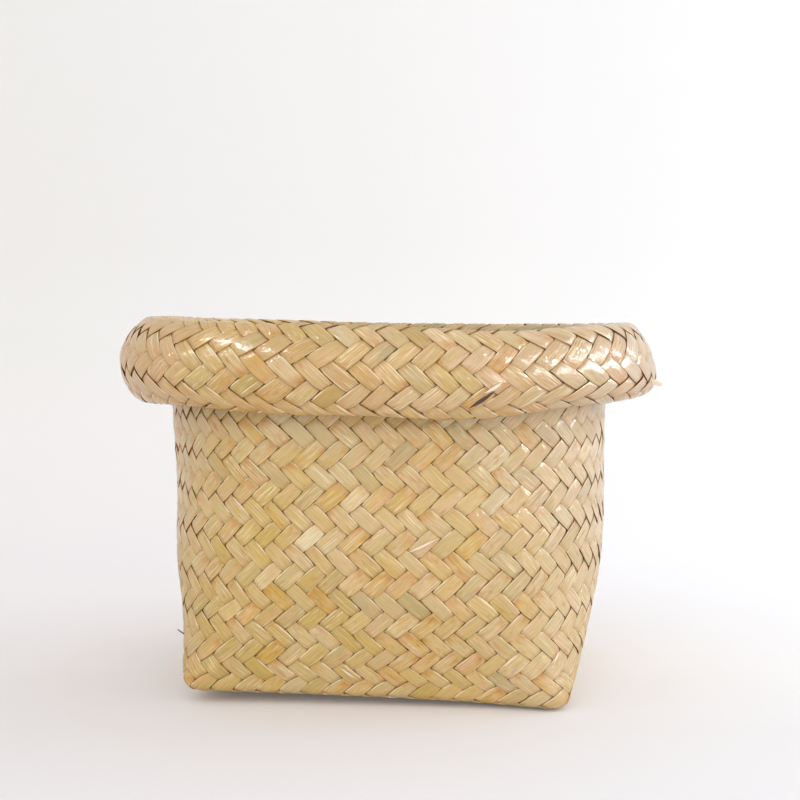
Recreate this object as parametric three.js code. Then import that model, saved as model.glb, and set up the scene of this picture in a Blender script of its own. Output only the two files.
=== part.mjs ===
// Planter basket plaited on the bias from flat strips: a square mat, four upset walls that swell from the
// square base to a nearly round mouth, a collar turned out and down over itself, and a tucked hem.
// Millimetres, +Z up, origin on the floor under the middle of the mat.

import * as THREE from 'three';

// Driving dimensions of the plaiting
const STRIP_PITCH = 5;             // from one strip to the next, across the strips
const STRIPS_PER_SIDE = 17;        // strips that cross one edge of the base, each way
const FABRIC = 1.8;                // two strips on top of each other

// Driving dimensions of the shape, measured on the middle of the fabric
const HEIGHT = 120;                // floor to the top of the collar, over all
const FLARE = 11.4;                // how far a wall swells out beyond the base edge, at mid-side
const FLARE_POWER = 3.5;           // higher brings the swelling nearer to the base
const GIRTH_GIVE = 0.022;          // part by which the plaiting eases round the wall above mid-height
const BASE_EDGE_RADIUS = 3.5;      // where the mat turns up into a wall
const BASE_CORNER_RADIUS = 6;      // in plan, at the four corners of the mat
const COLLAR_WIDTH = 19;           // wall to the outermost point of the roll
const COLLAR_DROP = 28;            // top of the roll to the level of its lowest point
const COLLAR_END_ANGLE = -62;      // degrees on the roll where the hem begins; 0 is outermost
const HEM_DEPTH = 4;               // hem below the end of the collar
const HEM_RETURN = 7;              // strip ends tucked up inside, above the end of the collar
const CLEARANCE = 0.3;             // between panels that meet

// Facets
const STRAIGHT_STEPS = 4;          // along the flat of a side
const CORNER_STEPS = 6;            // along half a corner, in plan
const EDGE_STEPS = 4;              // up the turned base edge
const WALL_STEPS = 10;             // up a wall
const ROLL_STEPS = 16;             // round the roll of the collar
const BEAD_STEPS = 4;              // round the turned edge of the hem

const DEGREE = Math.PI / 180;
const STRAW = 0xcdae74;
const SIDES = ['front', 'right', 'back', 'left'];

// Sizes worked out from them
const baseHalf = (STRIPS_PER_SIDE * STRIP_PITCH * Math.SQRT2) / 2;
const cornerLoss = 8 - 2 * Math.PI;
const girth = 8 * baseHalf - cornerLoss * BASE_CORNER_RADIUS;
const rollHalfWidth = COLLAR_WIDTH / 2;
const rollHalfDrop = (COLLAR_DROP - FABRIC) / 2;
const rollLevel = HEIGHT - FABRIC / 2 - rollHalfDrop;
const wallFoot = FABRIC / 2 + BASE_EDGE_RADIUS;

// A point of a profile: half-width of the section there, its corner radius in plan, and its height.
const station = (half, corner, z) => ({ half, corner, z });

// The girth of the plaiting hardly grows up the wall, so a wider section has rounder corners.
const wallStation = (z) => {
  const rise = (z - wallFoot) / (rollLevel - wallFoot);
  const half = baseHalf + FLARE * (1 - (1 - rise) ** FLARE_POWER);
  const eased = girth * (1 + GIRTH_GIVE * THREE.MathUtils.smoothstep(rise, 0, 0.5));
  return station(half, (8 * half - eased) / cornerLoss, z);
};
const wallTop = wallStation(rollLevel);

// Stations on the roll of the collar, by angle: 180 is against the wall, 90 on top, 0 outermost.
const rollStation = (angle) => {
  const out = rollHalfWidth * (1 + Math.cos(angle));
  const z = rollLevel + rollHalfDrop * Math.sin(angle);
  return station(wallTop.half + out, wallTop.corner + out, z);
};

const steps = (count, from, to, make) =>
  Array.from({ length: count + 1 }, (_, i) => make(from + ((to - from) * i) / count));

// Unit direction along a profile at index i, in half-width and height.
function heading(profile, i) {
  const before = profile[Math.max(i - 1, 0)];
  const after = profile[Math.min(i + 1, profile.length - 1)];
  return new THREE.Vector2(after.half - before.half, after.z - before.z).normalize();
}

// A profile moved to its right by the given distance, which for a profile that climbs is outwards.
function beside(profile, distance) {
  return profile.map((point, i) => {
    const along = heading(profile, i);
    const out = along.y * distance;
    return station(point.half + out, point.corner + out, point.z - along.x * distance);
  });
}

// The closed outline of a sheet of fabric whose middle follows the profile.
const sheetOutline = (profile) =>
  [...beside(profile, FABRIC / 2), ...beside(profile, -FABRIC / 2).reverse()];

// Where a profile starts or ends at its neighbour, half of the clearance is taken off.
function trimmed(profile, atStart, atEnd) {
  const cut = profile.map((point) => ({ ...point }));
  const shift = (index, sign) => {
    const along = heading(profile, index).multiplyScalar((sign * CLEARANCE) / 2);
    cut[index].half += along.x;
    cut[index].corner += along.x;
    cut[index].z += along.y;
  };
  if (atStart) shift(0, 1);
  if (atEnd) shift(cut.length - 1, -1);
  return cut;
}

// Plan points of one side, from corner middle to corner middle, on the section of a station.
function planPoints({ half, corner }) {
  const flat = half - corner;
  const turn = Math.PI / 4 - CLEARANCE / 2 / corner;
  const corners = steps(CORNER_STEPS, turn, 0, (angle) => [
    flat + corner * Math.sin(angle),
    -flat - corner * Math.cos(angle),
  ]);
  const left = corners.map(([x, y]) => [-x, y]);
  const straight = steps(STRAIGHT_STEPS, -flat, flat, (x) => [x, -half]).slice(1, -1);
  return [...left, ...straight, ...corners.reverse()];
}

// One side's panel: a closed outline of stations carried along the plan of the front side.
function sweepSide(outline) {
  const rows = outline.map((point) => planPoints(point).map(([x, y]) => [x, y, point.z]));
  const columns = rows[0].length;
  const flatOutline = outline.map((point) => new THREE.Vector2(point.half, point.z));
  const turnsLeft = THREE.ShapeUtils.area(flatOutline) > 0;
  const index = [];
  const face = (a, b, c) => index.push(...(turnsLeft ? [a, b, c] : [a, c, b]));
  const at = (row, column) => (row % rows.length) * columns + column;
  for (let row = 0; row < rows.length; row += 1) {
    for (let column = 0; column + 1 < columns; column += 1) {
      face(at(row, column), at(row, column + 1), at(row + 1, column + 1));
      face(at(row, column), at(row + 1, column + 1), at(row + 1, column));
    }
  }
  for (const [a, b, c] of THREE.ShapeUtils.triangulateShape(flatOutline, [])) {
    const [p, q, r] = turnsLeft ? [a, b, c] : [a, c, b];
    face(at(p, 0), at(q, 0), at(r, 0));
    face(at(p, columns - 1), at(r, columns - 1), at(q, columns - 1));
  }
  const geometry = new THREE.BufferGeometry();
  geometry.setAttribute('position', new THREE.Float32BufferAttribute(rows.flat(2), 3));
  geometry.setIndex(index);
  geometry.computeVertexNormals();
  return geometry;
}

// The mat: a flat square of plaiting with rounded corners.
function matGeometry() {
  const half = baseHalf - BASE_EDGE_RADIUS - CLEARANCE;
  const corner = BASE_CORNER_RADIUS - BASE_EDGE_RADIUS;
  const flat = half - corner;
  const shape = new THREE.Shape();
  for (let quarter = 0; quarter < 4; quarter += 1) {
    const start = quarter * 90 * DEGREE;
    const middle = start + 45 * DEGREE;
    const reach = flat * Math.SQRT2;
    shape.absarc(reach * Math.cos(middle), reach * Math.sin(middle), corner, start, start + 90 * DEGREE);
  }
  return new THREE.ExtrudeGeometry(shape, { depth: FABRIC, bevelEnabled: false, curveSegments: CORNER_STEPS });
}

// A wall turns up out of the floor and climbs to where the roll of the collar begins.
function sideGeometry() {
  const edge = steps(EDGE_STEPS, 0, 90 * DEGREE, (angle) => {
    const inset = BASE_EDGE_RADIUS * (1 - Math.sin(angle));
    const z = FABRIC / 2 + BASE_EDGE_RADIUS * (1 - Math.cos(angle));
    return station(baseHalf - inset, BASE_CORNER_RADIUS - inset, z);
  });
  const wall = steps(WALL_STEPS, wallFoot, rollLevel, wallStation).slice(1);
  return sweepSide(sheetOutline(trimmed([...edge, ...wall], false, true)));
}

// The collar climbs off the wall, rolls over and comes down outside it.
const rollProfile = steps(ROLL_STEPS, 180 * DEGREE, COLLAR_END_ANGLE * DEGREE, rollStation);
const collarGeometry = () => sweepSide(sheetOutline(trimmed(rollProfile, true, true)));

// The hem carries the collar on, turns in on itself and goes back up inside the roll.
function hemGeometry() {
  const last = rollProfile.length - 1;
  const end = rollProfile[last];
  const down = heading(rollProfile, last);
  const inwards = new THREE.Vector2(down.y, -down.x);
  const spread = FABRIC + CLEARANCE;
  const place = (along, inside) => {
    const out = down.x * along + inwards.x * inside;
    return station(end.half + out, end.corner + out, end.z + down.y * along + inwards.y * inside);
  };
  const bead = HEM_DEPTH - spread / 2;
  const turned = steps(BEAD_STEPS, -90 * DEGREE, 90 * DEGREE, (angle) =>
    place(bead + (spread / 2) * Math.cos(angle), (spread / 2) * (1 + Math.sin(angle))),
  );
  const insideRoll = rollProfile.filter((point) => {
    const away = Math.hypot(point.half - end.half, point.z - end.z);
    return away > spread && away < HEM_RETURN;
  });
  const back = beside(rollProfile, spread).filter((_, i) => insideRoll.includes(rollProfile[i])).reverse();
  const profile = [place(CLEARANCE / 2, 0), ...turned, place(0, spread), ...back];
  return sweepSide(sheetOutline(profile));
}

const straw = (shade) =>
  new THREE.MeshStandardMaterial({ color: new THREE.Color(STRAW).multiplyScalar(shade), roughness: 0.45, metalness: 0 });

const basket = new THREE.Group();

function addPiece(name, geometry, material, quarter = 0) {
  const mesh = new THREE.Mesh(geometry, material);
  mesh.name = name;
  mesh.rotation.z = quarter * 90 * DEGREE;
  basket.add(mesh);
}

addPiece('base_mat', matGeometry(), straw(0.92));
const bands = [
  ['side', sideGeometry(), straw(1)],
  ['collar', collarGeometry(), straw(1.04)],
  ['hem', hemGeometry(), straw(0.96)],
];
for (const [band, geometry, material] of bands) {
  SIDES.forEach((side, quarter) => addPiece(`${band}_${side}`, geometry, material, quarter));
}

export default basket;
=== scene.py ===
"""Planter basket plaited from 68 flat sedge strips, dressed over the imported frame."""
import math

import bpy
import numpy as np
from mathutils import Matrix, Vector


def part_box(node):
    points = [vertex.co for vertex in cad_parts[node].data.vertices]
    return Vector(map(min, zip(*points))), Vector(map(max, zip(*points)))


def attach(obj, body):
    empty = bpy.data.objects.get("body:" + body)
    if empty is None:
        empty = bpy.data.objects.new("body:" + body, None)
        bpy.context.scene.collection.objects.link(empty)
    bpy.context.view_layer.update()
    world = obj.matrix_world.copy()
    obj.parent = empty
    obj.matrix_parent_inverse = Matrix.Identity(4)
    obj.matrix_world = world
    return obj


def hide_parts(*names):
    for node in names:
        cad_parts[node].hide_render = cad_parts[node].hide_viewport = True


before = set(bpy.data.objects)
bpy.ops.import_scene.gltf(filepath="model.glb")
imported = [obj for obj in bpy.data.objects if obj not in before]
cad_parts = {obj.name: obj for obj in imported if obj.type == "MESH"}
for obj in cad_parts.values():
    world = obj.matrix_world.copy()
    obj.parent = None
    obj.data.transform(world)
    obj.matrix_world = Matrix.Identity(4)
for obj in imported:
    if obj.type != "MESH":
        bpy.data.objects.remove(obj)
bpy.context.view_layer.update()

MM = 0.001

# The plaiting. A lattice step is half of a strip's spacing along the base edge.
STRIPS_PER_SIDE = 17
STRIP_PITCH = 5 * MM
STEP = STRIP_PITCH / math.sqrt(2)
HALF_SIDE = STRIPS_PER_SIDE
SIDE_STEPS = 2 * HALF_SIDE
AROUND_STEPS = 4 * SIDE_STEPS

# The frame's own sizes
mat_low, mat_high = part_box("base_mat")
collar_low, collar_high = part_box("collar_front")
FABRIC = mat_high[2] - mat_low[2]
TOP = collar_high[2] - FABRIC / 2
ROLL_OUT = -collar_low[1] - FABRIC / 2
BASE_HALF = HALF_SIDE * STEP

# The form of the fabric, as in the frame
EDGE_RADIUS = 3.5 * MM
CORNER_RADIUS = 6 * MM
FLARE = 11.4 * MM
FLARE_POWER = 3.5
CORNER_LOSS = 8 - 2 * math.pi
GIRTH = 8 * BASE_HALF - CORNER_LOSS * CORNER_RADIUS
GIRTH_STRETCH = 0.022
ROLL_HALF_WIDTH = (ROLL_OUT - BASE_HALF - FLARE) / 2
ROLL_HALF_DROP = 13.1 * MM
ROLL_LEVEL = TOP - ROLL_HALF_DROP
UPPER_KEENNESS = 1.45
LEFT_KEENNESS = 0.5
LOWER_KEENNESS = 1.2
FLOOR_FABRIC = FABRIC / 2
WALL_FOOT = FLOOR_FABRIC + EDGE_RADIUS

# Where the rows of the twill fall on that form, in lattice steps from the base edge
EDGE_START = -1.0
EDGE_END = 0.9
ROW_RISE = 3.45 * MM
ROW_TIGHTENING = 1.0 * MM
ROW_EASE = 8.0
ROW_OFFSET = 2.2 * MM
ROLL_START = 32.36
ROLL_RISE = 3.3 * MM
ROLL_EASE = 7.0
RIM_ROW = 38.0
HEM_RADIUS = 1.4 * MM
LAST_ROW = 54.5

# How far the rows stray, in lattice steps, and where the collar is pushed along
NET_SWAY = 0.2
TWIST = 0.2
COLLAR_SHEAR = 2.0
SHEAR_PLACE = 30
SHEAR_SPREAD = 12

# One strip is cream where it climbs the front from the left corner
PALE_GROUP = "back_left"
PALE_STRIP = 2
PALE_START = 7.0
PALE_END = 22.5


def smooth(low, high, value):
    """Zero below low, one above high, eased between."""
    part = np.clip((value - low) / (high - low), 0.0, 1.0)
    return part * part * (3 - 2 * part)


def among(rows, v):
    """One on the middle rows of the four, fading out to the first and to the last."""
    first, full, fading, last = rows
    return smooth(first, full, v) * (1 - smooth(fading, last, v))


# Hand-made irregularities, by plan angle from the right side. Bearings and spreads are in degrees, rows are
# four lattice rows for among(), and ripples are lists of size, number of waves round the basket and phase.
RIM_LEVEL = 0.1 * MM
RIM_LEFT_RISE = 1.1 * MM
RIM_FRONT_RISE = 0.65 * MM
RIM_SIDES_RISE = 0.72 * MM
RIM_DIP = 1.0 * MM
RIM_DIP_BEARING = -64
RIM_DIP_SPREAD = 14
NOTCH_DEPTH = 0.6 * MM
NOTCH_BEARING = -60
NOTCH_SPREAD = 16
NOTCHED_ROWS = (32, 36.5, 38, 43)
ROW_LIFT_LEFT = 2.0 * MM
ROW_LIFT_SIDES = 3.0 * MM
ROW_LIFT_CORNERS = 3.0 * MM
LIFTED_ROWS = (0.5, 7, 20, 32)
ROW_DIP = 1.1 * MM
ROW_DIP_FRONT = 0.35
ROW_DIP_SIDES = 1.2
DIPPED_ROWS = (1, 4, 9, 16)
LAG_FRONT = -0.55
LAG_SIDES = 2.9
LAG_LEFT = 0.93
LAG_ROUNDING = 0.2
RIGHT_FOCUS = 1.5
FULLNESS = 0.88
RIGHT_SLACK = 0.03
SWELLING_RIPPLE = [(0.02, 3, 2.0), (0.012, 7, 0.0), (0.01, 11, 0.5)]
RIGHT_SHORTENING = 0.30
HANG_RIPPLE = [(0.03, 4, 1.0), (0.02, 9, 0.4)]
RIGHT_SAG = 3.6 * MM
HEM_TURN = -74
RIGHT_HEM_TURN = -26
HEM_RIPPLE = [(3, 5, 1.0), (2.5, 11, 0.0)]
FOOT_LIFT = 3.2 * MM
RIGHT_FOOT = (-45, 0.3 * MM, -3.2 * MM)
LEFT_FOOT = (-135, -1.2 * MM, -1.2 * MM)
FOOT_SPREAD = 14
FOOT_ROWS = (-6, -1, 1, 6)
DENT = 0.35 * MM
DENTED_ROWS = (3, 12, 26, 33)
LEFT_HOLLOW = 1.3 * MM
HOLLOW_ROWS = (2, 10, 16, 30)
FOOT_ARCH = 0.5 * MM
MAT_DOME = 1.2 * MM


def bump(angle, middle, spread):
    """One at the middle angle in degrees, falling off within the spread on both sides."""
    away = np.mod(np.degrees(angle) - middle + 180, 360) - 180
    return np.exp(-(away / spread) ** 2)


def ripple(angle, waves):
    return sum(size * np.sin(count * angle + phase) for size, count, phase in waves)


def on_left(angle):
    return np.clip(-np.cos(angle), 0, 1)


def on_right(angle):
    return np.clip(np.cos(angle), 0, 1) ** RIGHT_FOCUS


def rim_rise(angle):
    slow = RIM_LEVEL - RIM_LEFT_RISE * np.cos(angle) - RIM_FRONT_RISE * np.sin(angle)
    slow = slow + RIM_SIDES_RISE * np.cos(2 * angle)
    return slow - RIM_DIP * bump(angle, RIM_DIP_BEARING, RIM_DIP_SPREAD)


def rim_notch(angle, v):
    """The fold itself is pressed down on the right of the front, where the inside shows over it."""
    return NOTCH_DEPTH * bump(angle, NOTCH_BEARING, NOTCH_SPREAD) * among(NOTCHED_ROWS, v)


def row_lift(angle, v):
    sideways = np.abs(np.sin(angle))
    leftward = on_left(angle)
    lift = ROW_LIFT_LEFT * leftward + ROW_LIFT_SIDES * (1 - sideways)
    lift = lift + ROW_LIFT_CORNERS * leftward * sideways
    return lift * among(LIFTED_ROWS, v)


def row_dip(angle, v):
    sideways = np.clip(ROW_DIP_SIDES * np.abs(np.cos(angle)) + ROW_DIP_FRONT, 0, ROW_DIP_SIDES)
    return ROW_DIP * sideways * among(DIPPED_ROWS, v)


def roll_lag(angle):
    """Rows by which the plaiting lags on the collar: the sides are rolled over later, mostly the left."""
    leftward = -np.cos(angle)
    return LAG_FRONT + LAG_SIDES * (np.hypot(leftward, LAG_ROUNDING) - LAG_ROUNDING) + LAG_LEFT * leftward


def roll_swelling(angle):
    """How full the collar is: the right side is slack."""
    return FULLNESS - RIGHT_SLACK * on_right(angle) + ripple(angle, SWELLING_RIPPLE)


def roll_hang(angle):
    """How far the collar's lower half hangs."""
    return 1.0 - RIGHT_SHORTENING * on_right(angle) + ripple(angle, HANG_RIPPLE)


def roll_sag(angle):
    """How far the collar's outermost line lies below its middle."""
    return RIGHT_SAG * on_right(angle)


def hem_end(angle):
    """How far round the roll the hem is, from the horizontal."""
    return np.radians(HEM_TURN + RIGHT_HEM_TURN * on_right(angle) + ripple(angle, HEM_RIPPLE))


def foot_lift(x, y):
    """The front left foot stands a little off the floor."""
    return FOOT_LIFT * (1 - x / BASE_HALF) / 2 * (1 - y / BASE_HALF) / 2


def foot_pull(angle, v):
    """How far the front corners of the base are drawn out to a point, in x and y."""
    feet = [(bump(angle, middle, FOOT_SPREAD), x, y) for middle, x, y in (RIGHT_FOOT, LEFT_FOOT)]
    near_edge = among(FOOT_ROWS, v)
    pull_x = sum(near * x for near, x, _ in feet)
    pull_y = sum(near * y for near, _, y in feet)
    return pull_x * near_edge, pull_y * near_edge


def wall_dent(angle, v):
    """How far the wall stands out: slow dents all round and a hollow on the left."""
    dent = np.sin(5 * angle + 0.2 * v) + np.sin(8 * angle - 0.3 * v + 1.0)
    return DENT * dent * among(DENTED_ROWS, v) - LEFT_HOLLOW * on_left(angle) ** 2 * among(HOLLOW_ROWS, v)


# The fabric's middle surface

def wall_shape(z):
    rise = np.clip((z - WALL_FOOT) / (ROLL_LEVEL - WALL_FOOT), 0, 1)
    half = BASE_HALF + FLARE * (1 - (1 - rise) ** FLARE_POWER)
    girth = GIRTH * (1 + GIRTH_STRETCH * smooth(0, 0.5, rise))
    return half, (8 * half - girth) / CORNER_LOSS


def roll_shape(turned, angle, inside):
    """A point on the collar's roll, the given distance inside it: how far out of the wall, and height."""
    width = ROLL_HALF_WIDTH * roll_swelling(angle)
    across, up = np.cos(turned), np.sin(turned)
    drop = ROLL_HALF_DROP * np.where(up < 0, roll_hang(angle), 1.0)
    steep = np.hypot(up * width, across * drop)
    power = np.where(up > 0, UPPER_KEENNESS + LEFT_KEENNESS * on_left(angle) ** 2, LOWER_KEENNESS)
    keen = np.where(across > 0, np.abs(across) ** power, across)
    out = width * (1 + keen) - inside * across * drop / steep
    sag = roll_sag(angle) * np.clip(across, 0, 1) ** 2
    return out, ROLL_LEVEL + drop * up - sag - inside * up * width / steep


# Length round the roll in front, from the top of the wall, over the rim and on past the hem
LAST_TURN = -2.4
TURNS = np.linspace(math.pi, LAST_TURN, 300)
front_out, front_z = roll_shape(TURNS, np.full_like(TURNS, -math.pi / 2), 0.0)
TURN_LENGTHS = np.append(0.0, np.cumsum(np.hypot(np.diff(front_out), np.diff(front_z))))


def profile(v, angle):
    """Half-width, corner radius and height of the fabric at row v, at a plan angle."""
    mat_half = np.maximum((HALF_SIDE + v) * STEP, 0)
    mat_corner = (CORNER_RADIUS - EDGE_RADIUS) * (mat_half / BASE_HALF) ** 6

    bend = (v - EDGE_START) / (EDGE_END - EDGE_START) * math.pi / 2
    inset = EDGE_RADIUS * (1 - np.sin(bend))
    edge_z = FLOOR_FABRIC + EDGE_RADIUS * (1 - np.cos(bend))

    eased = ROW_EASE * ROW_TIGHTENING * (1 - np.exp(-np.maximum(v, 0) / ROW_EASE))
    wall_z = ROW_OFFSET + ROW_RISE * v - eased + row_lift(angle, v) - row_dip(angle, v)
    wall_half, wall_corner = wall_shape(wall_z)

    top_half, top_corner = wall_shape(np.full_like(v, ROLL_LEVEL))
    lag = roll_lag(angle) * smooth(ROLL_START, ROLL_START + ROLL_EASE, v)
    run = np.maximum(v - ROLL_START - lag, 0) * ROLL_RISE
    hem = hem_end(angle)
    turned = np.maximum(np.interp(run, TURN_LENGTHS, TURNS), hem)
    hem_run = np.maximum(run - np.interp(-hem, -TURNS, TURN_LENGTHS), 0)
    hem_bend = np.minimum(hem_run / HEM_RADIUS, math.pi)
    tucked = np.maximum(hem_run - math.pi * HEM_RADIUS, 0)
    inside = HEM_RADIUS * (1 - np.cos(hem_bend))
    back = turned + tucked / ROLL_HALF_DROP
    out, roll_z = roll_shape(back, angle, inside)
    ahead_out, ahead_z = roll_shape(back - 0.01, angle, inside)
    away = np.hypot(ahead_out - out, ahead_z - roll_z)
    drop = HEM_RADIUS * np.sin(hem_bend) / away
    out = out + (ahead_out - out) * drop
    roll_z = roll_z + (ahead_z - roll_z) * drop

    on_mat, on_edge, on_wall = v < EDGE_START, v < EDGE_END, v < ROLL_START
    places = [on_mat, on_edge, on_wall]
    half = np.select(places, [mat_half, BASE_HALF - inset, wall_half], top_half + out)
    corner = np.select(places, [mat_corner, CORNER_RADIUS - inset, wall_corner], top_corner + out)
    z = np.select(places, [np.full_like(v, FLOOR_FABRIC), edge_z, wall_z], roll_z)
    return half, np.maximum(corner, 0.01 * MM), z


def fabric_point(side, w, v):
    """Place on the fabric: side 0 to 3 from the front, w from -1 to 1 along it, row v."""
    angle = (side - 1) * math.pi / 2 + w * math.pi / 4
    half, corner, z = profile(v, angle)
    half = half + wall_dent(angle, v)
    flat = np.maximum(half - corner, 0)
    run = np.abs(w) * (flat + corner * math.pi / 4)
    bend = np.maximum(run - flat, 0) / corner
    x = np.sign(w) * (np.minimum(run, flat) + corner * np.sin(bend))
    y = -half + corner * (1 - np.cos(bend))
    turn = side * math.pi / 2
    px = np.cos(turn) * x - np.sin(turn) * y
    py = np.sin(turn) * x + np.cos(turn) * y
    pull_x, pull_y = foot_pull(angle, v)
    px, py = px + pull_x, py + pull_y
    low = 1 - smooth(0, 26, v)
    arch = FOOT_ARCH * (1 - w * w) * low * smooth(-6, 0, v)
    dome = MAT_DOME * (1 - smooth(-HALF_SIDE, 0, v))
    pz = z + rim_rise(angle) * smooth(22, 36, v) - rim_notch(angle, v)
    return np.stack([px, py, pz + foot_lift(px, py) * low + arch + dome], -1)


def sway(u, v, phase):
    """Slow drift of the plaiting, up to about one, the same on both sides of the seam."""
    turn = 2 * math.pi * u / AROUND_STEPS
    slow = np.sin(3 * turn + 0.11 * v + phase) + 0.8 * np.sin(7 * turn - 0.19 * v + 2.3 * phase)
    quick = 0.7 * np.sin(13 * turn + 0.33 * v + 4.1 * phase) + 0.5 * np.sin(23 * turn - 0.41 * v + phase)
    return (slow + quick) / 2


def wall_point(u, v):
    free = NET_SWAY * smooth(0.5, 6, v)
    shear = COLLAR_SHEAR * np.exp(-((u - SHEAR_PLACE) / SHEAR_SPREAD) ** 2) * smooth(33, 38, v)
    twist = TWIST * smooth(0.5, 5, v) - shear
    u, v = u + twist + free * sway(u, v, 1.0), v + free * sway(u, v, 2.6)
    u = np.mod(u, AROUND_STEPS)
    side = np.minimum(np.floor(u / SIDE_STEPS), 3)
    return fabric_point(side, (u - side * SIDE_STEPS) / HALF_SIDE - 1, v)


def mat_point(x, y):
    reach = np.maximum(np.maximum(np.abs(x), np.abs(y)), 1e-6)
    front, right, behind = (-y >= reach), (x >= reach), (y >= reach)
    side = np.select([front, right, behind], [0.0, 1.0, 2.0], 3.0)
    along = np.select([front, right, behind], [x, y, -x], -y)
    return fabric_point(side, along / reach, reach - HALF_SIDE)


def facing(point, a, b, sign):
    """Unit normal of a surface on the fabric's outer face."""
    near = 0.02
    da = point(a + near, b) - point(a - near, b)
    db = point(a, b + near) - point(a, b - near)
    normal = sign * np.cross(da, db)
    return normal / np.linalg.norm(normal, axis=-1, keepdims=True)


# The guide holds the fabric's surface by net coordinates, with the mat above the walls in the net
NET_SCALE = 1 / 160
MAT_IN_NET = 80.0
GUIDE_STEP = 0.25


def grid_faces(rows, columns, first):
    corner = first + np.arange(rows * columns).reshape(rows, columns)
    quads = [corner[:-1, :-1], corner[:-1, 1:], corner[1:, 1:], corner[1:, :-1]]
    return np.stack(quads, -1).reshape(-1, 4)


def listed(grids):
    """The points of several grids in one list."""
    return np.concatenate([grid.reshape(-1, 3) for grid in grids])


def make_guide():
    u = np.arange(0, AROUND_STEPS + GUIDE_STEP, 2 * GUIDE_STEP)
    v = np.arange(0, LAST_ROW + 1, GUIDE_STEP)
    uu, vv = np.meshgrid(u, v)
    m = np.arange(-HALF_SIDE, HALF_SIDE + GUIDE_STEP, 2 * GUIDE_STEP)
    xx, yy = np.meshgrid(m, m)
    # The last column is a hair short of the first, so that both belong to one side
    uu_inside = np.minimum(uu, AROUND_STEPS - 1e-6)
    places = [wall_point(uu_inside, vv), mat_point(xx, yy)]
    normals = [facing(wall_point, uu_inside, vv, 1), facing(mat_point, xx, yy, -1)]
    nets = [
        np.stack([uu, vv, 0 * uu], -1),
        np.stack([xx + HALF_SIDE, yy + HALF_SIDE + MAT_IN_NET, 0 * xx], -1),
    ]
    faces = np.concatenate([grid_faces(*uu.shape, 0), grid_faces(*xx.shape, uu.size)])
    mesh = bpy.data.meshes.new("guide")
    mesh.from_pydata(listed(places), [], faces.tolist())
    for name, values in (("net", listed(nets) * NET_SCALE), ("facing", listed(normals))):
        layer = mesh.attributes.new(name, "FLOAT_VECTOR", "POINT")
        layer.data.foreach_set("vector", values.astype(np.float32).ravel())
    return mesh


class Graph:
    """Adds nodes to a tree and wires them from values or other nodes' sockets."""

    def __init__(self, tree):
        self.tree = tree

    def feed(self, socket, value):
        if isinstance(value, bpy.types.NodeSocket):
            self.tree.links.new(value, socket)
        else:
            socket.default_value = value

    def add(self, kind, inputs=None, **settings):
        node = self.tree.nodes.new(kind)
        for name, value in settings.items():
            setattr(node, name, value)
        for key, value in (inputs or {}).items():
            self.feed(node.inputs[key], value)
        return node

    def math(self, operation, *terms):
        node = self.add("ShaderNodeMath", dict(enumerate(terms)), operation=operation)
        return node.outputs[0]

    def vector(self, x, y, z=0.0):
        return self.add("ShaderNodeCombineXYZ", {0: x, 1: y, 2: z}).outputs[0]

    def vector_math(self, operation, *terms):
        node = self.add("ShaderNodeVectorMath", dict(enumerate(terms)), operation=operation)
        return node.outputs["Value" if operation == "LENGTH" else "Vector"]

    def scaled(self, vector, factor):
        node = self.add("ShaderNodeVectorMath", {0: vector, "Scale": factor}, operation="SCALE")
        return node.outputs["Vector"]

    def noise(self, place, scale, detail=2.0):
        inputs = {"Vector": place, "Scale": scale, "Detail": detail}
        return self.add("ShaderNodeTexNoise", inputs).outputs[0]

    def parted(self, vector):
        """The x, y and z of a vector."""
        return self.add("ShaderNodeSeparateXYZ", {0: vector}).outputs

    def mixed(self, factor, first, second, kind):
        """First where the factor is zero, second where it is one; kind is VECTOR or RGBA."""
        node = self.add("ShaderNodeMix", {"Factor": factor}, data_type=kind)
        ends = [s for s in node.inputs if s.enabled and s.type == kind]
        self.feed(ends[0], first)
        self.feed(ends[1], second)
        return next(s for s in node.outputs if s.enabled)


# A strip's cross-section, the rows over which it becomes collar, and how it changes along its length
OVAL_POWER = 0.34
COLLAR_BLEND = (-2.0, 5.0)
DRIFT_PACE = 0.16
WAVER_PACE = 0.3
WIDTH_SPREAD = 0.08
CURL_MIDDLE = 0.4
HALF_CHANGE = 2.5
INNER_FACE = -0.05
CHART_FILL = 0.96

STRIP_SOCKETS = [
    ("Strip Count", "Int", 9),
    ("First Strip", "Int", 0),
    ("Quarter", "Int", 0),
    ("Half Side", "Float", float(HALF_SIDE)),
    ("Last Row", "Float", LAST_ROW),
    ("Strip Pitch", "Float", STRIP_PITCH),
    ("Strip Width", "Float", 5.04 * MM),
    ("Strip Thickness", "Float", 0.55 * MM),
    ("Over And Under", "Float", 0.40 * MM),
    ("Crispness", "Float", 3.6),
    ("Wander", "Float", 0.15 * MM),
    ("Waver", "Float", 0.16),
    ("Tilt", "Float", 0.17 * MM),
    ("Cup", "Float", 0.14 * MM),
    ("Pinch", "Float", 0.03),
    ("Collar Gape", "Float", 0.4),
    ("Collar Softness", "Float", 0.2),
    ("Dome", "Float", 0.07 * MM),
    ("Collar Dome", "Float", 0.12 * MM),
    ("Collar Row", "Float", ROLL_START),
    ("Steps Along", "Int", 640),
    ("Steps Around", "Int", 16),
    ("Seed", "Int", 5),
    ("Pale Strip", "Int", -1),
    ("Pale Start", "Float", PALE_START),
    ("Pale End", "Float", PALE_END),
    ("Strip Material", "Material", None),
]


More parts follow.
